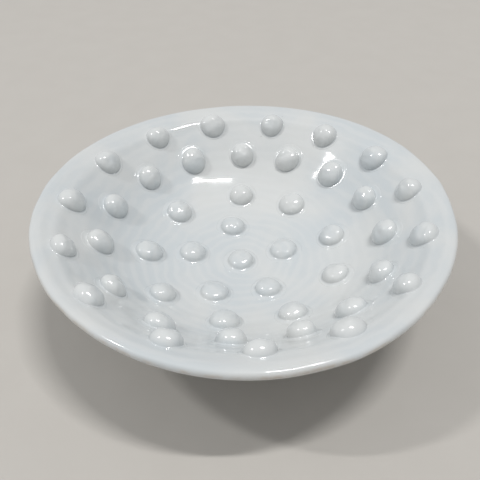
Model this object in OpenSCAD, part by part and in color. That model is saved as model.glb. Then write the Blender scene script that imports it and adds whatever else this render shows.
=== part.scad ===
// Stem-holding flower bowl: a shallow flared bowl on a foot ring, with rings of
// domed clay nubs on its inner wall. Stems are wedged between the nubs.
// Millimetres, +Z up. The origin is the centre of the foot, on the table.

/* [Bowl] */
// Outer diameter of the rim
rim_d = 280; // [230:1:340]
// Overall height, from the table to the top of the rim
height = 86; // [70:1:106]
// Thickness of the wall, and so of the rounded rim
wall_t = 7.5; // [5:0.5:10]
// Slope of the inner wall where it runs into the rim, in degrees
lip_slope = 22; // [8:1:28]
// How far out the floor stays flat, as a share of the inner radius
floor_spread = 0.75; // [0.62:0.01:0.8]
// How far in the rim's flare reaches, as a share of the inner radius
flare_reach = 0.35; // [0.25:0.01:0.4]

/* [Foot] */
// Outer diameter of the foot ring
foot_d = 112; // [84:1:140]
// Height of the bowl's underside above the table, at its centre
foot_clear = 24; // [12:1:34]
// Thickness of the foot ring
foot_t = 8.5; // [6:0.5:12]
// Bevel wiped round the bottom of the foot ring
foot_bevel = 1.6; // [0.6:0.2:2.4]

/* [Nubs] */
// Diameter of a nub where it meets the wall
nub_d = 19.5; // [14:0.5:24]
// Height of a nub above the wall
nub_h = 8.5; // [5:0.5:9.5]
// Largest change of a nub's size from its neighbours, as a share
nub_variation = 0.05; // [0:0.01:0.08]

/* [Nub rings] */
// Bare band from the rim's edge to the centres of the outermost nubs
rim_band = 21; // [19:1:28]
// Nubs in the outermost ring
rim_count = 15; // [9:1:16]
// Nubs in the ring on the steep wall
wall_count = 15; // [9:1:16]
// Nubs in the ring where the floor starts to rise
slope_count = 9; // [5:1:12]
// Nubs in the ring round the centre
floor_count = 5; // [3:1:6]
// Radius of the wall ring, as a share of the outermost ring's
wall_share = 0.82; // [0.78:0.01:0.84]
// Radius of the slope ring, as a share of the outermost ring's
slope_share = 0.565; // [0.5:0.005:0.6]
// Radius of the floor ring, as a share of the outermost ring's
floor_share = 0.305; // [0.28:0.005:0.33]

/* [Hidden] */
// Curve quality: steps along the inner wall, and round the edge of the rim
WALL_STEPS = 22;
LIP_STEP = 15;
$fn = 96;

// The first nub of each ring, in degrees from +X towards +Y
RIM_START = 8;
WALL_START = 21;
SLOPE_START = 17;
FLOOR_START = 22;

// The nubs were set by eye: whole degrees that each one is off its even place
RIM_DRIFT = [3, 1, 0, -2, -2, -3, -3, -2, -2, -2, 2, 2, 2, 3, 3];
WALL_DRIFT = [1, 0, -1, -3, -3, -3, -2, -2, 1, 3, 5, 5, 2, 1, 1];
SLOPE_DRIFT = [-3, -2, -6, 0, 3, 1, 3, 1, 2];
FLOOR_DRIFT = [-4, 8, 4, 2, -10];
// Whole millimetres that each nub of the floor ring lies further out
FLOOR_SHIFT = [-5, 1, 1, 3, -2];
// The middle nub lies this far off centre, towards -X
CENTRE_SHIFT = 2;
// Turns, in degrees, that spread the nubs' sizes round with no pattern to see
WIDTH_TURN = 137;
HEIGHT_TURN = 101;

// Ring by ring, from the rim inwards: name, nubs, radius, first nub, drift, shift
ring_r = rim_d / 2 - rim_band;
RINGS = [
    ["nub_rim", rim_count, ring_r, RIM_START, RIM_DRIFT, []],
    ["nub_wall", wall_count, ring_r * wall_share, WALL_START, WALL_DRIFT, []],
    ["nub_slope", slope_count, ring_r * slope_share, SLOPE_START, SLOPE_DRIFT, []],
    ["nub_floor", floor_count, ring_r * floor_share, FLOOR_START, FLOOR_DRIFT, FLOOR_SHIFT]
];

function two_digits(n) = n < 10 ? str("0", n) : str(n);
function nub_name(ring, i) = str(ring[0], "_", two_digits(i + 1));

// ---- The wall's curve -------------------------------------------------------
// The inner wall is one cubic curve: level at the centre of the floor, steepest
// two thirds of the way out, and easing to lip_slope where the rim's edge begins.
floor_z = foot_clear + wall_t;
lip_r = rim_d / 2 - wall_t / 2;
lip_z = height - wall_t / 2;
edge_r = lip_r - wall_t / 2 * sin(lip_slope);
edge_z = lip_z + wall_t / 2 * cos(lip_slope);
flare_len = flare_reach * edge_r;

CURVE = [
    [0, floor_z],
    [floor_spread * edge_r, floor_z],
    [edge_r - flare_len * cos(lip_slope), edge_z - flare_len * sin(lip_slope)],
    [edge_r, edge_z]
];

function inner_point(t) =
    pow(1 - t, 3) * CURVE[0] + 3 * t * pow(1 - t, 2) * CURVE[1]
    + 3 * t * t * (1 - t) * CURVE[2] + pow(t, 3) * CURVE[3];

function inner_tangent(t) =
    3 * pow(1 - t, 2) * (CURVE[1] - CURVE[0])
    + 6 * t * (1 - t) * (CURVE[2] - CURVE[1]) + 3 * t * t * (CURVE[3] - CURVE[2]);

function inner_slope(t) = atan2(inner_tangent(t)[1], inner_tangent(t)[0]);

// The outer wall lies wall_t behind the inner one, square to it
function outer_point(t) =
    inner_point(t) + wall_t * [sin(inner_slope(t)), -cos(inner_slope(t))];

// Where on the curve the wall has radius r, found by halving
function curve_at(r, low = 0, high = 1, tries = 30) =
    let (mid = (low + high) / 2)
    tries == 0 ? mid
    : inner_point(mid)[0] < r ? curve_at(r, mid, high, tries - 1)
    : curve_at(r, low, mid, tries - 1);

inner_wall = [for (i = [0 : WALL_STEPS]) inner_point(i / WALL_STEPS)];
outer_wall = [for (i = [WALL_STEPS : -1 : 0]) outer_point(i / WALL_STEPS)];
lip_arc = [
    for (a = [90 : -LIP_STEP : lip_slope - 90 + LIP_STEP / 3])
        [lip_r, lip_z] + wall_t / 2 * [cos(a), sin(a)]
];

// ---- Solids the pieces are cut from -----------------------------------------
// Everything inside the bowl: what a nub may fill
module cavity() {
    rotate_extrude()
        polygon(concat(inner_wall, [[edge_r, height + nub_d], [0, height + nub_d]]));
}

// Everything above the bowl's underside: what the foot ring stays clear of
module above_underside() {
    rotate_extrude()
        polygon(concat([[0, height]], [[lip_r + wall_t, height]], outer_wall));
}

// ---- Pieces -----------------------------------------------------------------
module bowl() {
    color("whitesmoke")
        rotate_extrude()
            polygon(concat(inner_wall, lip_arc, outer_wall));
}

// A plain turned ring, its top cut to the curve of the bowl's underside
module foot_ring() {
    foot_r = foot_d / 2;
    top_z = inner_point(curve_at(foot_r))[1] - wall_t / 2;
    profile = [
        [foot_r - foot_t, foot_bevel],
        [foot_r - foot_t + foot_bevel, 0],
        [foot_r - foot_bevel, 0],
        [foot_r, foot_bevel],
        [foot_r, top_z],
        [foot_r - foot_t, top_z]
    ];
    color("bisque")
        difference() {
            rotate_extrude()
                polygon(profile);
            above_underside();
        }
}

// A dome of clay standing square to the wall at radius r, turned round to angle a.
// It is the cap of a ball, and its foot has the wall's own shape. seed picks its size.
module nub(r, a, seed) {
    d = nub_d * (1 + nub_variation * sin(WIDTH_TURN * seed));
    h = nub_h * (1 + nub_variation * cos(HEIGHT_TURN * seed));
    ball_r = (d * d / 4 + h * h) / (2 * h);
    t = curve_at(r);
    seat = inner_point(t);
    color("whitesmoke")
        rotate([0, 0, a])
            intersection() {
                translate([seat[0], 0, seat[1]])
                    rotate([0, -inner_slope(t), 0])
                        translate([0, 0, h - ball_r])
                            sphere(r = ball_r);
                rotate([0, 0, 180])
                    cavity();
            }
}

function own(list, i) = i < len(list) ? list[i] : 0;

module ring_nub(ring, i) {
    r = ring[2] + own(ring[5], i);
    a = ring[3] + i * 360 / ring[1] + own(ring[4], i);
    nub(r, a, i + ring[1] + ring[3]);
}

module nub_centre() {
    nub(CENTRE_SHIFT, 180, 0);
}

bowl();
foot_ring();
nub_centre();
for (ring = RINGS) {
    for (i = [0 : ring[1] - 1]) {
        ring_nub(ring, i);
    }
}
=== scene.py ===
"""The looks of the nubbed flower bowl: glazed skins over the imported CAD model.

Everything is in metres in the CAD frame: the table is z = 0 and the bowl's axis is +Z.
The wall's curve is worked out from the CAD bowl's box and the shape values that the CAD
uses, and each nub's place and size are read off its own CAD node.
"""
import math

import bpy
import numpy as np
from mathutils import Matrix, Vector


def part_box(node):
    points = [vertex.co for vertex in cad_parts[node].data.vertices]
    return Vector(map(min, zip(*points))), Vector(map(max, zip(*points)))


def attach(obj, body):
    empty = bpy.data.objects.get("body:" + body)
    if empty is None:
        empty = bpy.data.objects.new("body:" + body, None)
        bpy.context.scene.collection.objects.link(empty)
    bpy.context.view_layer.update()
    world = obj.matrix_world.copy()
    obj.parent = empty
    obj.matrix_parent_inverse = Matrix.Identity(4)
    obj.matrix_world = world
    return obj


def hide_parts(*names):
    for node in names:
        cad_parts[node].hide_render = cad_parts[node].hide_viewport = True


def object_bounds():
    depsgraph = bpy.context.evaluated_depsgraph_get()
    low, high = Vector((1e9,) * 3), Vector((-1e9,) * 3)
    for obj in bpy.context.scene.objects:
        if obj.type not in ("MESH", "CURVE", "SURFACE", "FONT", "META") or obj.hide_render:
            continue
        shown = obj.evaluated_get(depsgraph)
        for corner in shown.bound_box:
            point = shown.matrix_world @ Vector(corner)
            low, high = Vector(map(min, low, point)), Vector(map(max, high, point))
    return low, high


MM = 0.001
TURN = 2 * math.pi
RIGHT_ANGLE = math.pi / 2

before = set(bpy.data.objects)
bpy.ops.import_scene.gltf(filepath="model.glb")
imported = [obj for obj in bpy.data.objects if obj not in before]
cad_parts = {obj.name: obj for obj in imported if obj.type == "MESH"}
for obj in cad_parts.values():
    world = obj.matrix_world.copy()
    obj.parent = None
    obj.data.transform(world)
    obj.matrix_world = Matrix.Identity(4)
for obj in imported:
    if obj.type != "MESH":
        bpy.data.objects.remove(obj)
cad_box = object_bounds()

# ---- Sizes ------------------------------------------------------------------
# The bowl's shape values, as in the CAD
WALL_T = 7.5 * MM
LIP_SLOPE = math.radians(22)
FLOOR_SPREAD = 0.75
FLARE_REACH = 0.35

bowl_low, bowl_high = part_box("bowl")
rim_r = bowl_high.x
floor_z = bowl_low.z + WALL_T
lip_r = rim_r - WALL_T / 2
lip_z = bowl_high.z - WALL_T / 2
edge_r = lip_r - WALL_T / 2 * math.sin(LIP_SLOPE)
edge_z = lip_z + WALL_T / 2 * math.cos(LIP_SLOPE)
flare_len = FLARE_REACH * edge_r

# How uneven the hand left the rim, from this share of its radius outwards
RIM_WARP_FROM = 0.84
RIM_OUT_OF_ROUND = (
    # lobes round the rim, and how far each stands out along X and along Y, in mm
    (0, -0.55, 0),
    (1, 0.75, 2.03),
    (2, 0.34, 0.40),
    (3, -0.78, 1.29),
)
# The rim rolls over: the wall swells before its edge, and the lip is flattened just past it.
# Each is a height, a place along the wall from its edge, and a width.
ROLL = ((0.85 * MM, -13.5 * MM, 5.5 * MM), (-0.95 * MM, 1.6 * MM, 3.4 * MM))

# The inner wall's throwing spiral, which fades in from the middle and sways as it goes round
THROW_PITCH = 7.5 * MM
THROW_DEPTH = 0.012 * MM
THROW_FROM = 4 * MM
THROW_FULL = 22 * MM
THROW_SWAY = 0.8
THROW_SWAY_TURN = 0.7
# Its ripples, by their share in the middle and what the rim adds, and its broad swells
RIPPLE_DEPTH = 0.026 * MM
RIPPLE_MIDDLE = 0.7
RIPPLE_RIM = 1.3
SWELL_DEPTH = 0.07 * MM
# The band inside the edge over which all of these fade out
RELIEF_FADE = 12 * MM

# The lip: how uneven and how much slimmer it is at its outermost, and where the glaze is thin
LIP_UNEVEN = 0.18 * MM
LIP_SLIM = 0.2 * MM
THIN_AT = math.radians(2)
THIN_WIDTH = math.radians(20)

# The outer wall's ripples and turning marks, and the band inside the edge where they fade
OUTER_RIPPLE = 0.10 * MM
TURNING_DEPTH = 0.06 * MM
TURNING_PITCH = 5 * MM
OUTER_FADE = 14 * MM

# How finely the pieces are meshed
CURVE_POINTS = 2001
COLUMNS = 340
WALL_RINGS = 170
LIP_RINGS = 22
OUTER_RINGS = 100
NUB_COLUMNS = 60
FOOT_COLUMNS = 240


# ---- The wall's curve -------------------------------------------------------
def wall_curve():
    """The inner wall's section, one cubic Bezier curve: its points, slopes and lengths."""
    start = np.array([0, floor_z])
    leave = np.array([FLOOR_SPREAD * edge_r, floor_z])
    end = np.array([edge_r, edge_z])
    arrive = end - flare_len * np.array([math.cos(LIP_SLOPE), math.sin(LIP_SLOPE)])
    t = np.linspace(0, 1, CURVE_POINTS)[:, None]
    points = (
        (1 - t) ** 3 * start + 3 * t * (1 - t) ** 2 * leave
        + 3 * t ** 2 * (1 - t) * arrive + t ** 3 * end
    )
    tangents = (
        (1 - t) ** 2 * (leave - start) + 2 * t * (1 - t) * (arrive - leave)
        + t ** 2 * (end - arrive)
    )
    slopes = np.arctan2(tangents[:, 1], tangents[:, 0])
    steps = np.linalg.norm(np.diff(points, axis=0), axis=1)
    return points, slopes, np.concatenate([[0], np.cumsum(steps)])


curve_points, curve_slopes, curve_lengths = wall_curve()
curve_radii = curve_points[:, 0]
curve_heights = curve_points[:, 1]
wall_length = curve_lengths[-1]


def smooth_step(low, high, x):
    """0 below low, 1 above high, and a smooth rise between."""
    u = np.clip((x - low) / (high - low), 0, 1)
    return u * u * (3 - 2 * u)


class Waves:
    """A smooth random field over the plane: a sum of sine waves in random directions."""

    def __init__(self, seed, count, shortest, longest):
        rng = np.random.RandomState(seed)
        length = rng.uniform(shortest, longest, count)
        heading = rng.uniform(0, TURN, count)
        self.kx = TURN / length * np.cos(heading)
        self.ky = TURN / length * np.sin(heading)
        self.phase = rng.uniform(0, TURN, count)
        self.scale = math.sqrt(2 / count)

    def __call__(self, x, y):
        total = np.zeros(np.broadcast(x, y).shape)
        for kx, ky, phase in zip(self.kx, self.ky, self.phase):
            total += np.sin(kx * x + ky * y + phase)
        return total * self.scale

    def round_ring(self, angle, radius):
        """The field along a circle, so that its ends meet."""
        return self(radius * np.cos(angle), radius * np.sin(angle))


inner_ripple = Waves(seed=11, count=16, shortest=13 * MM, longest=34 * MM)
inner_swell = Waves(seed=12, count=9, shortest=60 * MM, longest=130 * MM)
outer_ripple = Waves(seed=13, count=14, shortest=16 * MM, longest=45 * MM)
# These three run round a circle whose radius is a plain number, and so are their lengths
lip_waves = Waves(seed=14, count=8, shortest=0.9, longest=2.6)
foot_waves = Waves(seed=31, count=7, shortest=0.5, longest=1.6)
line_waves = Waves(seed=32, count=9, shortest=0.35, longest=1.3)
LIP_WAVES_R = 6
FOOT_WAVES_R = 2


def warp(r, z, angle):
    """Puts a point of the true round form where the uneven hand-made one has it."""
    out = smooth_step(RIM_WARP_FROM * rim_r, rim_r, r)
    for lobes, along_x, along_y in RIM_OUT_OF_ROUND:
        r = r + out * MM * (along_x * np.cos(lobes * angle) + along_y * np.sin(lobes * angle))
    return np.stack([r * np.cos(angle), r * np.sin(angle), z + 0 * angle], axis=-1)


def rim_roll(past_edge):
    """How far the surface stands proud of the CAD section, that far along it past the edge."""
    return sum(h * np.exp(-((past_edge - place) / width) ** 2) for h, place, width in ROLL)


def inner_relief(r, angle):
    """How far the inner surface stands proud of the curve: spiral, ripples, swells and roll."""
    along = np.interp(r, curve_radii, curve_lengths)
    x, y = r * np.cos(angle), r * np.sin(angle)
    sway = THROW_SWAY * np.sin(2 * angle + THROW_SWAY_TURN)
    spiral = TURN * along / THROW_PITCH + angle + sway
    rings = THROW_DEPTH * np.sin(spiral) * smooth_step(THROW_FROM, THROW_FULL, r)
    ripple_share = RIPPLE_MIDDLE + RIPPLE_RIM * (r / rim_r) ** 4
    ripple = RIPPLE_DEPTH * inner_ripple(x, y) * ripple_share
    swell = SWELL_DEPTH * inner_swell(x, y)
    uneven = (rings + ripple + swell) * (1 - smooth_step(edge_r - RELIEF_FADE, edge_r, r))
    return uneven + rim_roll(along - wall_length)


def inner_wall(r, angle):
    """Points of the glazed inner surface at radius r and that angle round the axis."""
    z = np.interp(r, curve_radii, curve_heights)
    slope = np.interp(r, curve_radii, curve_slopes)
    proud = inner_relief(r, angle)
    return warp(r - np.sin(slope) * proud, z + np.cos(slope) * proud, angle)


def under_bowl(r):
    """The height of the bowl's underside at radius r."""
    under_r = curve_radii + WALL_T * np.sin(curve_slopes)
    under_z = curve_heights - WALL_T * np.cos(curve_slopes)
    return np.interp(r, under_r, under_z)


# ---- Meshes -----------------------------------------------------------------
def grid_mesh(name, rings, capped=True):
    """A closed skin through rings of points, each ring an array of (columns, 3).

    Capped, each end runs into one point, the mean of its ring. If not, the last ring has to
    lie on the first.
    """
    rings = np.asarray(rings, float)
    count, columns, _ = rings.shape
    points = rings.reshape(-1, 3)
    column = np.arange(columns)
    after = (column + 1) % columns
    faces = []
    for i in range(count - 1):
        a, b = i * columns, (i + 1) * columns
        faces += np.stack([a + column, a + after, b + after, b + column], axis=1).tolist()
    if capped:
        for ring, order in ((0, 1), (count - 1, -1)):
            pole = len(points)
            points = np.vstack([points, rings[ring].mean(axis=0)])
            start = ring * columns
            fan = np.stack([start + after, start + column, 0 * column + pole], axis=1)
            faces += fan[:, ::order].tolist()
    mesh = bpy.data.meshes.new(name)
    mesh.from_pydata(points.tolist(), [], faces)
    if signed_volume(mesh) < 0:
        mesh.flip_normals()
    mesh.shade_smooth()
    mesh.update()
    piece = bpy.data.objects.new(name, mesh)
    bpy.context.scene.collection.objects.link(piece)
    return piece


def signed_volume(mesh):
    """Six times the volume of a closed mesh, below 0 where its faces point inwards."""
    mesh.calc_loop_triangles()
    co = np.array([v.co for v in mesh.vertices], float)
    tri = np.array([t.vertices for t in mesh.loop_triangles])
    a, b, c = co[tri[:, 0]], co[tri[:, 1]], co[tri[:, 2]]
    return float(np.einsum("ij,ij->i", a, np.cross(b, c)).sum())


def paint(piece, name, values):
    """Stores one value a point, which the material reads by that name. Poles get 0."""
    values = np.asarray(values, np.float32).ravel()
    data = np.zeros(len(piece.data.vertices), np.float32)
    data[: len(values)] = values
    layer = piece.data.attributes.new(name, "FLOAT", "POINT")
    layer.data.foreach_set("value", data)


def dress(piece, slot, replaced, *materials):
    """Gives a piece its materials and puts it in place of the CAD node that it stands for, which
    it hides. Its slot is not used.
    """
    for material in materials:
        piece.data.materials.append(material)
    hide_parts(replaced)
    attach(piece, "root")


# ---- Materials --------------------------------------------------------------
class Nodes:
    """Shorthand for building a material's node tree.

    The scale of noise and of cells is about how many come in a metre.
    """

    def __init__(self, name):
        self.material = bpy.data.materials.new(name)
        self.material.use_nodes = True
        self.tree = self.material.node_tree
        self.shader = self.tree.nodes["Principled BSDF"]
        self.coord = self.add("ShaderNodeTexCoord").outputs["Object"]

    def add(self, kind, **settings):
        node = self.tree.nodes.new(kind)
        for key, value in settings.items():
            setattr(node, key, value)
        return node

    def link(self, source, target):
        self.tree.links.new(source, target)

    def texture(self, kind, inputs, **settings):
        """A texture over the object's own coordinates."""
        node = self.add(kind, **settings)
        for socket, number in inputs.items():
            node.inputs[socket].default_value = number
        self.link(self.coord, node.inputs["Vector"])
        return node.outputs

    def noise(self, scale, detail=3, rough=0.5, warp=0.0):
        inputs = {"Scale": scale, "Detail": detail, "Roughness": rough, "Distortion": warp}
        return self.texture("ShaderNodeTexNoise", inputs)["Fac"]

    def cells(self, scale):
        """How far a place is from the nearest of many scattered points."""
        return self.texture("ShaderNodeTexVoronoi", {"Scale": scale})["Distance"]

    def rings(self, scale, distortion):
        """Wavy rings round the Z axis, about 0.31 / scale metres apart."""
        inputs = {"Scale": scale, "Distortion": distortion, "Detail": 3, "Detail Scale": 1.2}
        kind = "ShaderNodeTexWave"
        return self.texture(kind, inputs, wave_type="RINGS", rings_direction="Z")["Fac"]

    def painted(self, name):
        """The value that paint() stored by that name."""
        return self.add("ShaderNodeAttribute", attribute_name=name).outputs["Fac"]

    def spread(self, value, low, high, to_low=0.0, to_high=1.0):
        """Turns low into to_low and high into to_high, smoothly between and flat outside."""
        node = self.add("ShaderNodeMapRange", interpolation_type="SMOOTHSTEP")
        self.link(value, node.inputs["Value"])
        for socket, number in zip(range(1, 5), (low, high, to_low, to_high)):
            node.inputs[socket].default_value = number
        return node.outputs["Result"]

    def math(self, operation, a, b):
        node = self.add("ShaderNodeMath", operation=operation)
        for socket, value in zip(node.inputs, (a, b)):
            if isinstance(value, (int, float)):
                socket.default_value = value
            else:
                self.link(value, socket)
        return node.outputs["Value"]

    def times(self, a, b):
        return self.math("MULTIPLY", a, b)

    def mix(self, factor, a, b):
        """Colour a where the factor is 0 and b where it is 1."""
        node = self.add("ShaderNodeMix", data_type="RGBA")
        self.link(factor, node.inputs[0])
        # The colour sockets of this node are inputs 6 and 7, and output 2
        for socket, value in ((node.inputs[6], a), (node.inputs[7], b)):
            if isinstance(value, tuple):
                socket.default_value = (*value, 1)
            else:
                self.link(value, socket)
        return node.outputs[2]

    def bump(self, height, distance, normal=None):
        node = self.add("ShaderNodeBump")
        node.inputs["Strength"].default_value = 1
        node.inputs["Distance"].default_value = distance
        self.link(height, node.inputs["Height"])
        if normal:
            self.link(normal, node.inputs["Normal"])
        return node.outputs["Normal"]

    def set_shader(self, **numbers):
        for name, number in numbers.items():
            self.shader.inputs[name.replace("_", " ")].default_value = number


GLAZE_GREY = (0.57, 0.605, 0.62)
GLAZE_WHITE = (0.645, 0.655, 0.645)
GLAZE_STREAK = (0.665, 0.675, 0.67)
# Pooled glaze, darker and cooler, which also paints shade into the creases at the nubs' feet
GLAZE_POOLED_SHADE = (0.46, 0.51, 0.53)
# Painted light: the uphill sides of nubs on steep walls made paler, where the overhead lamps fall
GLAZE_CROWN_LIGHT = (0.70, 0.71, 0.70)
GLAZE_THIN = (0.50, 0.43, 0.35)
PINHOLE = (0.25, 0.21, 0.17)
# How far the glaze goes to those colours
STREAK_SHARE = 0.35
POOL_SHADE_SHARE = 0.4
CROWN_LIGHT_SHARE = 0.7
THIN_SHARE = 0.6
PINHOLE_SHARE = 0.6
# How deep the glaze's own relief is
RING_RELIEF = 0.006 * MM
DIMPLE_RELIEF = 0.030 * MM
FINE_RELIEF = 0.003 * MM
PINHOLE_DEPTH = 0.10 * MM


# How shiny it is: the body's roughness and how strongly the body and its coat reflect. The
# coat is softer on the nubs, as a sharper one loses their small highlights at this distance.
BODY_ROUGHNESS = (0.42, 0.58)
BODY_IOR = 1.5
BODY_SPECULAR = 0.25
COAT_IOR = 1.65
COAT_ROUGHNESS = 0.06
COAT_ROUGHNESS_NUBS = 0.125


def glaze_rings(n):
    """The throwing rings as they show through the glaze, strongly wavy."""
    return n.rings(42, distortion=5)


def pinholes(n):
    """1 in a pinhole and 0 elsewhere. They come in a few clusters."""
    holes = n.spread(n.cells(85), 0.018, 0.034, to_low=1, to_high=0)
    return n.times(holes, n.spread(n.noise(9, detail=2), 0.56, 0.6))


def glaze_colour(n, holes):
    """Cloudy white with streaks, darker in the pools with painted shade at the nubs' feet, paler
    on the nubs' uphill sides as painted light, brown where thin.
    """
    cloud = n.spread(n.noise(14, detail=4, rough=0.55, warp=0.6), 0.35, 0.68)
    colour = n.mix(cloud, GLAZE_GREY, GLAZE_WHITE)
    streaks = n.times(glaze_rings(n), n.noise(22))
    streaks = n.spread(streaks, 0.12, 0.5, to_high=STREAK_SHARE)
    colour = n.mix(streaks, colour, GLAZE_STREAK)
    # The pooled glaze's tint with painted shade at the nubs' feet, most on their downhill side
    colour = n.mix(n.times(n.painted("pool_shade"), POOL_SHADE_SHARE), colour, GLAZE_POOLED_SHADE)
    # Painted light on the uphill sides of the nubs
    colour = n.mix(n.times(n.painted("crown_light"), CROWN_LIGHT_SHARE), colour, GLAZE_CROWN_LIGHT)
    broken = n.spread(n.noise(95, detail=4, rough=0.6), 0.38, 0.62)
    thin = n.times(n.painted("edge"), n.times(broken, THIN_SHARE))
    colour = n.mix(thin, colour, GLAZE_THIN)
    return n.mix(n.times(holes, PINHOLE_SHARE), colour, PINHOLE)


def glaze_skin(n, holes):
    """The glaze's relief: rings, dimples, a fine grain and the pinholes."""
    skin = n.bump(glaze_rings(n), RING_RELIEF)
    skin = n.bump(n.noise(140, detail=2), DIMPLE_RELIEF, skin)
    skin = n.bump(n.noise(700, detail=2), FINE_RELIEF, skin)
    return n.bump(n.math("SUBTRACT", 1, holes), PINHOLE_DEPTH, skin)


def glaze_material(name, coat_roughness):
    """Cool white glaze: a dull white body under a clear, glossy coat of that roughness."""
    n = Nodes(name)
    holes = pinholes(n)
    n.link(glaze_colour(n, holes), n.shader.inputs["Base Color"])
    roughness = n.spread(n.noise(60), 0.3, 0.7, *BODY_ROUGHNESS)
    n.link(roughness, n.shader.inputs["Roughness"])
    skin = glaze_skin(n, holes)
    n.link(skin, n.shader.inputs["Normal"])
    n.link(skin, n.shader.inputs["Coat Normal"])
    n.set_shader(IOR=BODY_IOR, Specular_IOR_Level=BODY_SPECULAR)
    n.set_shader(Coat_Weight=1, Coat_Roughness=coat_roughness, Coat_IOR=COAT_IOR)
    return n.material


CLAY_DARK = (0.47, 0.38, 0.28)
CLAY_PALE = (0.60, 0.51, 0.40)
CLAY_GRAIN = (0.20, 0.14, 0.10)
CLAY_ROUGHNESS = (0.78, 0.95)
CLAY_RING_RELIEF = 0.03 * MM
CLAY_SAND_RELIEF = 0.05 * MM


def clay_material():
    """Bare fired stoneware under the foot: sandy buff, matt, with dark grains."""
    n = Nodes("bare_clay")
    cloud = n.spread(n.noise(60, detail=5, rough=0.6), 0.3, 0.7)
    colour = n.mix(cloud, CLAY_DARK, CLAY_PALE)
    grains = n.spread(n.cells(900), 0.10, 0.22, to_low=1, to_high=0)
    grains = n.times(grains, n.spread(n.noise(260, detail=2), 0.52, 0.6))
    colour = n.mix(grains, colour, CLAY_GRAIN)
    n.link(colour, n.shader.inputs["Base Color"])
    roughness = n.spread(n.noise(300), 0.3, 0.7, *CLAY_ROUGHNESS)
    n.link(roughness, n.shader.inputs["Roughness"])
    skin = n.bump(n.rings(260, distortion=1.2), CLAY_RING_RELIEF)
    skin = n.bump(n.noise(1500, detail=4, rough=0.7), CLAY_SAND_RELIEF, skin)
    n.link(skin, n.shader.inputs["Normal"])
    return n.material


PAPER_DARK = (0.50, 0.475, 0.44)
PAPER_PALE = (0.53, 0.505, 0.47)


def floor_material():
    """Pale matt paper."""
    n = Nodes("floor_paper")
    colour = n.mix(n.noise(30, detail=4), PAPER_DARK, PAPER_PALE)
    n.link(colour, n.shader.inputs["Base Color"])
    n.set_shader(Roughness=0.85, Specular_IOR_Level=0.2)
    return n.material


glaze = glaze_material("white_glaze", COAT_ROUGHNESS)
nub_glaze = glaze_material("white_glaze_on_nubs", COAT_ROUGHNESS_NUBS)
clay = clay_material()


# ---- The bowl ---------------------------------------------------------------
def inner_rings(angle):
    """The glazed inner surface, from the middle of the floor out to the wall's edge."""
    along = np.linspace(0, wall_length, WALL_RINGS + 1)[1:]
    radii = np.interp(along, curve_lengths, curve_radii)
    return [inner_wall(np.full(COLUMNS, r), angle) for r in radii]


def lip_rings(angle):
    """The rounded edge, over the top and round to the outer wall, and how thin its glaze is."""
    uneven = LIP_UNEVEN * lip_waves.round_ring(angle, LIP_WAVES_R)
    first, last = LIP_SLOPE + RIGHT_ANGLE, LIP_SLOPE - RIGHT_ANGLE
    rings, thin = [], []
    for a in np.linspace(first, last, LIP_RINGS + 1)[1:]:
        swing = math.cos(a - LIP_SLOPE)
        roll = rim_roll((first - a) * WALL_T / 2)
        radius = WALL_T / 2 + roll - LIP_SLIM * swing + uneven * swing
        r = lip_r + radius * math.cos(a)
        z = lip_z + (WALL_T / 2 + roll) * math.sin(a)
        rings.append(warp(r, z, angle))
        thin.append(math.exp(-((a - THIN_AT) / THIN_WIDTH) ** 2))
    return rings, thin


def outer_rings(angle):
    """The outer wall, WALL_T behind the inner one and square to it, back to the middle."""
    rings = []
    for along in np.linspace(wall_length, 0, OUTER_RINGS + 1)[1:-1]:
        r = np.interp(along, curve_lengths, curve_radii)
        z = np.interp(along, curve_lengths, curve_heights)
        slope = np.interp(along, curve_lengths, curve_slopes)
        fade = 1 - smooth_step(edge_r - OUTER_FADE, edge_r, r)
        ripple = OUTER_RIPPLE * outer_ripple(r * np.cos(angle), r * np.sin(angle))
        turned = TURNING_DEPTH * np.sin(TURN * along / TURNING_PITCH + angle)
        thick = WALL_T + fade * (ripple + turned)
        rings.append(warp(r + np.sin(slope) * thick, z - np.cos(slope) * thick, angle))
    return rings


def make_bowl():
    """One closed skin: out along the inner wall, over the lip and back under the outer wall."""
    angle = np.arange(COLUMNS) * TURN / COLUMNS
    inner, outer = inner_rings(angle), outer_rings(angle)
    lip, thin = lip_rings(angle)
    edge = np.concatenate([np.zeros(len(inner)), thin, np.zeros(len(outer))])
    bowl = grid_mesh("bowl_shell", inner + lip + outer)
    paint(bowl, "edge", np.repeat(edge, COLUMNS))
    dress(bowl, "white_glaze", "bowl", glaze)


# ---- The nubs ---------------------------------------------------------------
# A nub's shape goes from a level one to a steep one, which it has where the wall's slope has
# this sine. On a steep wall its downhill side and its uphill side differ.
STEEP_WALL = 0.6
# Its width against the CAD nub's, and the share of its height that a level one loses
NUB_SLIM = 0.955
NUB_SLUMP = 0.3
# How square its section is: 2 is an ellipse
NUB_FULL_LEVEL = 2.3
NUB_FULL_STEEP = 2.15
# The glaze pooled round it: how high up it starts, how far out it runs, and how far it tucks
# in under the nub's side, or bulges out where that is below 0
FILLET_H_LEVEL = 2.2 * MM
FILLET_H_STEEP = 1.2 * MM
FILLET_LEVEL = 3.3 * MM
FILLET_DOWNHILL = 1.0 * MM
FILLET_UPHILL = 3.2 * MM
TUCK_LEVEL = -0.75 * MM
TUCK_DOWNHILL = 0.8 * MM
TUCK_UPHILL = -0.4 * MM
# A hair-thin skirt runs on past the pool, folds down and closes the nub inside the wall
SKIRT_W = 0.5 * MM
SKIRT_H = 0.02 * MM
SKIRT_FOLD_W = 0.05 * MM
SKIRT_FOLD_DROP = 0.3 * MM
SKIRT_DROP = 1.2 * MM
SKIRT_HEM = 0.6
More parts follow.
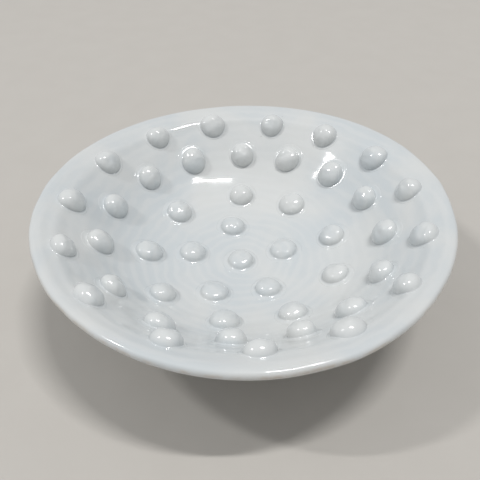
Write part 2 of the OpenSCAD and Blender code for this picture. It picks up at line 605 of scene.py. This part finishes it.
# The section's points: evenly turned ones out to a share of its width, then short steps
DOME_RINGS = 17
DOME_SHARE = 0.992
SIDE_STEP = 0.0015
FILLET_RINGS = 9
# On a steep wall the top leans uphill, by this share of its height, and the uphill side is
# stretched by this share of the width
NUB_LEAN = 0.42
NUB_STRETCH = 0.17
# No two are alike: how oval, how three-cornered, and how many mm off upright each may be
NUB_OVAL = (0.01, 0.035)
NUB_CORNER = (0.0, 0.02)
NUB_LEAN_SPREAD = 0.5
# The random draws of nub number n start from these seeds plus n
PLAN_SEED = 100
DENT_SEED = 200
RIPPLE_SEED = 300
# Its surface: shallow dents and fine ripples, which grow with the height above the wall
NUB_DENTS = 0.19 * MM
NUB_RIPPLES = 0.035 * MM
ROUGH_FROM = 0.3 * MM
ROUGH_FULL = 3 * MM
# How much the uphill side and level ground take off the pooled glaze's colour and its painted
# shade
POOL_SHADE_UPHILL_LOSS = 0.8
POOL_SHADE_LEVEL_LOSS = 0.7
# The share of the height over which the uphill side grows paler with painted light
CROWN_LIGHT_FROM = 0.1
CROWN_LIGHT_FULL = 0.8
# How sharply the uphill side's shape and values take over, going round
UPHILL_SHARPNESS = 1.5
# The least distance from a nub's top to the top of the CAD model
HEADROOM = 0.15 * MM


def nub_seat(node):
    """Where a CAD nub stands: its seat, its uphill, sideways and square directions, and size.

    The seat is the point of the wall's curve nearest to the middle of the nub's surface.
    """
    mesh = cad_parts[node].data
    co = np.array([v.co for v in mesh.vertices], float)
    area = np.array([p.area for p in mesh.polygons])
    centre = np.array([p.center for p in mesh.polygons], float)
    middle = (centre * area[:, None]).sum(axis=0) / area.sum()
    angle = math.atan2(middle[1], middle[0])
    section = np.array([math.hypot(middle[0], middle[1]), middle[2]])
    k = int(np.argmin(np.linalg.norm(curve_points - section, axis=1)))
    (r, z), slope = curve_points[k], curve_slopes[k]
    ca, sa = math.cos(angle), math.sin(angle)
    seat = np.array([r * ca, r * sa, z])
    uphill = np.array([math.cos(slope) * ca, math.cos(slope) * sa, math.sin(slope)])
    square = np.array([-math.sin(slope) * ca, -math.sin(slope) * sa, math.cos(slope)])
    off = co - seat
    tall = (off @ square).max()
    wide = np.linalg.norm(off - np.outer(off @ square, square), axis=1).max()
    return seat, uphill, np.cross(square, uphill), square, wide, tall


def between(level, steep, tilt):
    """A value for a nub that is tilted that much, from 0 on level ground to 1 on a steep wall."""
    return level + tilt * (steep - level)


def nub_outline(wide, tall, full, fillet_h, fillet, tuck):
    """A nub's section from its top outwards: (distance from its axis, height, pooled glaze and
    painted shade).
    """

    def dome_height(u):
        return tall * (1 - u ** full) ** (1 / full)

    shares = list(DOME_SHARE * np.sin(np.linspace(0, RIGHT_ANGLE, DOME_RINGS + 1)[1:]))
    while dome_height(shares[-1]) > fillet_h and shares[-1] + SIDE_STEP < 1:
        shares.append(shares[-1] + SIDE_STEP)
    dome = [u for u in shares if dome_height(u) > fillet_h] + [shares[-1]]
    outline = [(wide * u, dome_height(u), 0) for u in dome]

    # The pool is a curve from there out to the wall, drawn towards its knee
    start = np.array(outline[-1][:2])
    end = np.array([wide + fillet, SKIRT_H])
    knee = np.array([start[0] - tuck, SKIRT_H])
    for v in np.linspace(0, 1, FILLET_RINGS + 1)[1:]:
        p = (1 - v) ** 2 * start + 2 * v * (1 - v) * knee + v * v * end
        # The third value is the pooled glaze with its painted shade, most in the pool's middle
        outline.append((p[0], p[1], math.sin(math.pi * v) ** 2))

    skirt_r = end[0] + SKIRT_W
    outline.append((skirt_r, SKIRT_H, 0))
    outline.append((skirt_r + SKIRT_FOLD_W, -SKIRT_FOLD_DROP, 0))
    outline.append((SKIRT_HEM * end[0], -SKIRT_DROP, 0))
    return outline


def nub_outlines(wide, tall, tilt):
    """A nub's downhill and uphill sections, which have the same heights point for point."""
    full = between(NUB_FULL_LEVEL, NUB_FULL_STEEP, tilt)
    fillet_h = between(FILLET_H_LEVEL, FILLET_H_STEEP, tilt)
    outlines = []
    for fillet, tuck in ((FILLET_DOWNHILL, TUCK_DOWNHILL), (FILLET_UPHILL, TUCK_UPHILL)):
        fillet = between(FILLET_LEVEL, fillet, tilt)
        tuck = between(TUCK_LEVEL, tuck, tilt)
        outlines.append(nub_outline(wide, tall, full, fillet_h, fillet, tuck))
    return outlines


def nub_plan(number, around, steep, tall):
    """How far a nub reaches in each direction, against its width, and how far its top leans.

    Direction 0 is uphill.
    """
    rng = np.random.RandomState(PLAN_SEED + number)
    oval, oval_turn = rng.uniform(*NUB_OVAL), rng.uniform(0, TURN)
    corner, corner_turn = rng.uniform(*NUB_CORNER), rng.uniform(0, TURN)
    lean = rng.uniform(-NUB_LEAN_SPREAD, NUB_LEAN_SPREAD, 2) * MM
    lean = lean + np.array([NUB_LEAN * steep * tall, 0])
    oval_part = oval * np.cos(2 * (around - oval_turn))
    corner_part = corner * np.cos(3 * (around - corner_turn))
    uphill_part = NUB_STRETCH * steep * np.clip(np.cos(around), 0, 1) ** UPHILL_SHARPNESS
    return 1 + oval_part + corner_part + uphill_part, lean


def keep_below_rim(rings, seat_z):
    """Presses a nub down so that its top stays HEADROOM below the top of the CAD model."""
    top = rings[..., 2].max()
    over = max(0, top - (cad_box[1][2] - HEADROOM))
    rings[..., 2] -= over * smooth_step(seat_z, top, rings[..., 2])
    return rings


def make_nub(node, number):
    """The glazed nub that stands for that CAD node, built ring by ring from its top down."""
    seat, uphill, side, square, wide, tall = nub_seat(node)
    steep = uphill[2]
    tilt = min(1, steep / STEEP_WALL)
    wide = NUB_SLIM * wide
    tall = tall * (1 - NUB_SLUMP * (1 - tilt))
    around = np.arange(NUB_COLUMNS) * TURN / NUB_COLUMNS
    plan, lean = nub_plan(number, around, steep, tall)
    uphill_share = ((1 + np.cos(around)) / 2) ** UPHILL_SHARPNESS
    dents = Waves(DENT_SEED + number, count=8, shortest=6 * MM, longest=15 * MM)
    ripples = Waves(RIPPLE_SEED + number, count=10, shortest=2.6 * MM, longest=5 * MM)
    rings, pool_shade, crown_light = [], [], []
    downhill_outline, uphill_outline = nub_outlines(wide, tall, tilt)
    for (low, height, pooled_shade), (high, _, _) in zip(downhill_outline, uphill_outline):
        reach = (low * (1 - uphill_share) + high * uphill_share) * plan
        up_share = np.clip(height / tall, 0, 1)
        x = reach * np.cos(around) + lean[0] * up_share
        y = reach * np.sin(around) + lean[1] * up_share
        rough = NUB_DENTS * dents(x, y) + NUB_RIPPLES * ripples(x, y)
        rise = height + rough * smooth_step(ROUGH_FROM, ROUGH_FULL, height)
        flat = seat + np.outer(x, uphill) + np.outer(y, side)
        r = np.hypot(flat[:, 0], flat[:, 1])
        wall = inner_wall(r, np.arctan2(flat[:, 1], flat[:, 0]))
        rings.append(wall + rise[:, None] * square)
        # The pooled glaze's painted shade is kept mostly to the downhill side of nubs on steep
        # walls
        pool_shade_share = (1 - POOL_SHADE_UPHILL_LOSS * uphill_share) * (1 - POOL_SHADE_LEVEL_LOSS * (1 - tilt))
        pool_shade.append(pooled_shade * pool_shade_share)
        # Painted light grows up the uphill side of nubs on steep walls
        crown_light.append(uphill_share * tilt * smooth_step(CROWN_LIGHT_FROM, CROWN_LIGHT_FULL, up_share))
    nub = grid_mesh(node + "_glazed", keep_below_rim(np.array(rings), seat[2]))
    paint(nub, "pool_shade", np.array(pool_shade))
    paint(nub, "crown_light", np.array(crown_light))
    dress(nub, "white_glaze", node, nub_glaze)


# ---- The foot ---------------------------------------------------------------
# The ring's thickness and the bevel round its bottom, as in the CAD
FOOT_T = 8.5 * MM
FOOT_BEVEL = 1.6 * MM
# The radius of the blend into the bowl, how far the blend's edge laps into the bowl's skin,
# and how deep in the bowl's wall the ring ends
FOOT_BLEND = 3.2 * MM
FOOT_LAP = 0.4 * MM
FOOT_SUNK = 2 * MM
# The glaze ends in a wandering line between two levels, with bare clay below
LINE_ABOVE = 4.6 * MM
LINE_Z = 3.4 * MM
LINE_BELOW = 2.4 * MM
LINE_WANDER = 0.7 * MM
# How far out of round the ring is. It is true where it stands and uneven from this height up
FOOT_WOBBLE = 0.12 * MM
FOOT_TRUE_TO = 2 * MM
# The section's points
BLEND_POINTS = 9
BEVEL_POINTS = 6
BOTTOM_POINTS = 6
OUTSIDE_POINTS = 13
INSIDE_POINTS = 11


def foot_side(side_r, out, straight_points):
    """One side of the ring's section, from the bowl down: (radius, height, on the line).

    out is 1 for the ring's outside and -1 for its inside.
    """
    side = []
    for v in np.linspace(0, 1, BLEND_POINTS):
        a = v * RIGHT_ANGLE
        r = side_r + out * FOOT_BLEND * (1 - math.sin(a))
        z = under_bowl(r) - FOOT_BLEND * (1 - math.cos(a)) + FOOT_LAP * (1 - v)
        side.append((r, z, 0))
    for z in np.linspace(side[-1][1], LINE_ABOVE, straight_points + 1)[1:]:
        side.append((side_r, z, 0))
    side.append((side_r, LINE_Z, 1))
    side.append((side_r, LINE_BELOW, 0))
    for a in np.linspace(0, RIGHT_ANGLE, BEVEL_POINTS):
        r = side_r - out * FOOT_BEVEL * (1 - math.cos(a))
        side.append((r, FOOT_BEVEL * (1 - math.sin(a)), 0))
    return side


def foot_section(outer_r):
    """The ring's section, down its outside, across, up its inside and through the bowl."""
    inner_r = outer_r - FOOT_T
    outside = foot_side(outer_r, 1, OUTSIDE_POINTS)
    inside = foot_side(inner_r, -1, INSIDE_POINTS)
    across = np.linspace(outer_r - FOOT_BEVEL, inner_r + FOOT_BEVEL, BOTTOM_POINTS + 2)[1:-1]
    bottom = [(r, 0, 0) for r in across]
    sunk = [(r, under_bowl(r) + FOOT_SUNK, 0) for r in (inner_r, outer_r)]
    return outside + bottom + inside[::-1] + sunk


def make_foot():
    """The foot ring, glazed above the line and bare below it."""
    section = foot_section(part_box("foot_ring")[1].x)
    angle = np.arange(FOOT_COLUMNS) * TURN / FOOT_COLUMNS
    wobble = FOOT_WOBBLE * foot_waves.round_ring(angle, FOOT_WAVES_R)
    line = LINE_WANDER * line_waves.round_ring(angle, FOOT_WAVES_R)
    rings = []
    for r, z, on_line in section:
        r = r + wobble * smooth_step(0, FOOT_TRUE_TO, z)
        z = z + line * on_line
        rings.append(np.stack([r * np.cos(angle), r * np.sin(angle), z], axis=-1))
    rings.append(rings[0])
    foot = grid_mesh("foot_ring_turned", rings, capped=False)
    dress(foot, "bare_clay", "foot_ring", glaze, clay)
    bare = [i for i, (_, z, _) in enumerate(section) if z <= LINE_Z]
    for face in foot.data.polygons:
        ring = face.index // FOOT_COLUMNS
        if min(bare) <= ring < max(bare):
            face.material_index = 1


make_bowl()
for number, node in enumerate(sorted(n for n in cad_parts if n.startswith("nub_"))):
    make_nub(node, number)
make_foot()


# ---- Floor, light and camera ------------------------------------------------
FLOOR_HALF = 8.0
LAMP_DISTANCE = 8
LAMPS = (
    # name, direction from the bowl, length and thickness, power in watts
    ("lamp_above", (0.224, -0.07, 0.97), (2.3, 0.22), 310),
    ("lamp_left", (-0.61, -0.06, 0.79), (0.9, 0.22), 150),
)
# The room lights the bowl most from its bright side. Its strength goes from dim to bright
# between two cosines of the angle to that side. Where the room itself is seen, it is even.
ROOM_COLOUR = (0.97, 0.985, 1.0, 1)
ROOM_BRIGHT_SIDE = (-0.62, -0.10, 0.78)
ROOM_DIM_AT = -0.4
ROOM_BRIGHT_AT = 1.0
ROOM_DIM = 0.21
ROOM_BRIGHT = 0.54
ROOM_SEEN = 0.56
# The camera looks at the middle of the rim from this steeply above it and this far off, and
# is then turned down, aside and about its own axis. Its lens and sensor are in mm.
CAMERA_ELEVATION = math.radians(36.705)
CAMERA_DISTANCE = 0.37369
CAMERA_DOWN = math.radians(-3.947)
CAMERA_ASIDE = math.radians(0.299)
CAMERA_ROLL = math.radians(0.331)
CAMERA_LENS = 42
CAMERA_SENSOR = 36
CAMERA_CLIP_START = 0.01


def make_floor():
    half = FLOOR_HALF
    mesh = bpy.data.meshes.new("floor")
    corners = [(-half, -half, 0), (half, -half, 0), (half, half, 0), (-half, half, 0)]
    mesh.from_pydata(corners, [], [(0, 1, 2, 3)])
    floor = bpy.data.objects.new("floor", mesh)
    bpy.context.scene.collection.objects.link(floor)
    mesh.materials.append(floor_material())


def add_lamp(name, direction, size, power):
    """A strip lamp overhead that faces the bowl, its long side along X."""
    lamp = bpy.data.lights.new(name, "AREA")
    lamp.shape = "RECTANGLE"
    lamp.size, lamp.size_y = size
    lamp.energy = power
    holder = bpy.data.objects.new(name, lamp)
    target = Vector((0, 0, floor_z))
    back = Vector(direction).normalized()
    across = back.cross(Vector((1, 0, 0))).normalized()
    turned = Matrix((across.cross(back), across, back)).transposed().to_4x4()
    holder.matrix_world = Matrix.Translation(target + back * LAMP_DISTANCE) @ turned
    bpy.context.scene.collection.objects.link(holder)


def room_strength(tree):
    """How strongly the room lights the bowl from each direction."""
    towards = tree.nodes.new("ShaderNodeTexCoord").outputs["Generated"]
    side = tree.nodes.new("ShaderNodeVectorMath")
    side.operation = "DOT_PRODUCT"
    side.inputs[1].default_value = Vector(ROOM_BRIGHT_SIDE).normalized()
    tree.links.new(towards, side.inputs[0])
    level = tree.nodes.new("ShaderNodeMapRange")
    limits = (ROOM_DIM_AT, ROOM_BRIGHT_AT, ROOM_DIM, ROOM_BRIGHT)
    for socket, number in zip(range(1, 5), limits):
        level.inputs[socket].default_value = number
    tree.links.new(side.outputs["Value"], level.inputs["Value"])
    return level.outputs["Result"]


def ray_sees_room(tree):
    """1 for a ray from the camera, or one that was mirrored or let through, and 0 for light."""
    path = tree.nodes.new("ShaderNodeLightPath")
    sees = path.outputs["Is Camera Ray"]
    for ray in ("Is Glossy Ray", "Is Transmission Ray"):
        either = tree.nodes.new("ShaderNodeMath")
        either.operation = "MAXIMUM"
        tree.links.new(sees, either.inputs[0])
        tree.links.new(path.outputs[ray], either.inputs[1])
        sees = either.outputs["Value"]
    return sees


def make_world():
    """A plain pale room: a gradient that lights the bowl, and an even grey where it is seen."""
    world = bpy.data.worlds.new("studio")
    world.use_nodes = True
    tree = world.node_tree
    background = tree.nodes["Background"]
    background.inputs["Color"].default_value = ROOM_COLOUR
    strength = tree.nodes.new("ShaderNodeMix")
    strength.inputs["B"].default_value = ROOM_SEEN
    tree.links.new(ray_sees_room(tree), strength.inputs[0])
    tree.links.new(room_strength(tree), strength.inputs["A"])
    tree.links.new(strength.outputs["Result"], background.inputs["Strength"])
    bpy.context.scene.world = world


def make_camera():
    """A camera above and in front of the bowl, turned slightly off the rim's centre."""
    centre = Vector((0, 0, bowl_high.z))
    towards = Vector((0, -math.cos(CAMERA_ELEVATION), math.sin(CAMERA_ELEVATION)))
    place = centre + CAMERA_DISTANCE * towards
    ahead = (centre - place).normalized()
    right = Vector((1, 0, 0))
    up = right.cross(ahead)
    aim = (
        Matrix.Rotation(CAMERA_ASIDE, 3, up) @ Matrix.Rotation(CAMERA_DOWN, 3, right)
        @ Matrix.Rotation(CAMERA_ROLL, 3, ahead)
    )
    ahead, right, up = aim @ ahead, aim @ right, aim @ up
    data = bpy.data.cameras.new("camera")
    data.sensor_width = CAMERA_SENSOR
    data.lens = CAMERA_LENS
    data.clip_start = CAMERA_CLIP_START
    camera = bpy.data.objects.new("camera", data)
    axes = Matrix((right, up, -ahead)).transposed().to_4x4()
    camera.matrix_world = Matrix.Translation(place) @ axes
    bpy.context.scene.collection.objects.link(camera)
    bpy.context.scene.camera = camera


make_floor()
for lamp_settings in LAMPS:
    add_lamp(*lamp_settings)
make_world()
make_camera()
bpy.context.scene.view_settings.view_transform = "Standard"
